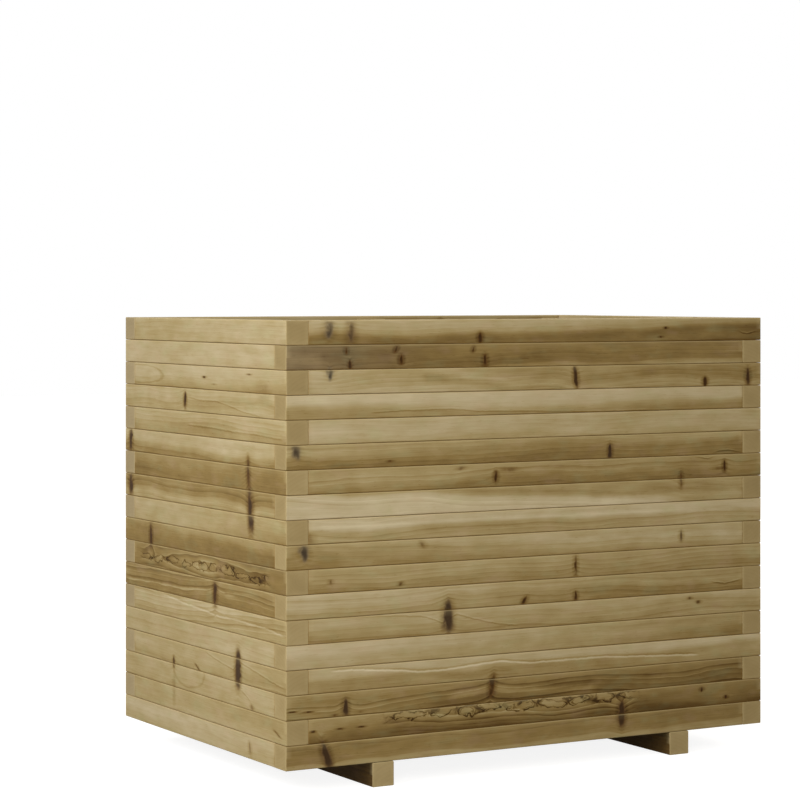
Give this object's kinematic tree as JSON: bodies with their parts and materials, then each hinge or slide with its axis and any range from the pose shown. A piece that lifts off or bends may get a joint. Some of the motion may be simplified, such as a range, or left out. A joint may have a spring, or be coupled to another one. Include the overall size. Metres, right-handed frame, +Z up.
{
  "type": "floor planter",
  "caption": "Tall rectangular wooden planter of stacked square slats with interlocked corners, an open top and slatted floor, on two foot rails.",
  "frame": {"origin": "on the ground under the middle of the box, between the two foot rails", "axes": "+Z up, +X along the long walls, +Y along the short walls; the front wall faces -Y"},
  "size_m": [0.9, 0.6, 0.722],
  "materials": {
    "outer_slats": "planed pine, pressure-treated to an olive tan, with eased edges and sawn ends",
    "inner_frame": "planed pressure-treated pine",
    "floor_boards": "planed pressure-treated pine",
    "foot_rails": "planed pressure-treated pine, sawn ends",
    "screws": "zinc-plated countersunk wood screws"
  },
  "bodies": {
    "root": {"long_slats_course_01": "outer_slats", "long_slats_course_02": "outer_slats", "long_slats_course_03": "outer_slats", "long_slats_course_04": "outer_slats", "long_slats_course_05": "outer_slats", "long_slats_course_06": "outer_slats", "long_slats_course_07": "outer_slats", "long_slats_course_08": "outer_slats", "long_slats_course_09": "outer_slats", "long_slats_course_10": "outer_slats", "long_slats_course_11": "outer_slats", "long_slats_course_12": "outer_slats", "long_slats_course_13": "outer_slats", "long_slats_course_14": "outer_slats", "long_slats_course_15": "outer_slats", "long_slats_course_16": "outer_slats", "long_slats_course_17": "outer_slats", "long_slats_course_18": "outer_slats", "short_slats_course_01": "outer_slats", "short_slats_course_02": "outer_slats", "short_slats_course_03": "outer_slats", "short_slats_course_04": "outer_slats", "short_slats_course_05": "outer_slats", "short_slats_course_06": "outer_slats", "short_slats_course_07": "outer_slats", "short_slats_course_08": "outer_slats", "short_slats_course_09": "outer_slats", "short_slats_course_10": "outer_slats", "short_slats_course_11": "outer_slats", "short_slats_course_12": "outer_slats", "short_slats_course_13": "outer_slats", "short_slats_course_14": "outer_slats", "short_slats_course_15": "outer_slats", "short_slats_course_16": "outer_slats", "short_slats_course_17": "outer_slats", "short_slats_course_18": "outer_slats", "corner_post_front_left": "inner_frame", "corner_post_front_right": "inner_frame", "corner_post_back_left": "inner_frame", "corner_post_back_right": "inner_frame", "wall_batten_front": "inner_frame", "wall_batten_back": "inner_frame", "floor_board_1": "floor_boards", "floor_board_2": "floor_boards", "floor_board_3": "floor_boards", "floor_board_4": "floor_boards", "floor_board_5": "floor_boards", "floor_board_6": "floor_boards", "foot_rail_left": "foot_rails", "foot_rail_right": "foot_rails", "post_screws_long_walls": "screws", "post_screws_short_walls": "screws", "batten_screws": "screws", "floor_screws": "screws", "rail_screws": "screws"}
  },
  "joints": []
}
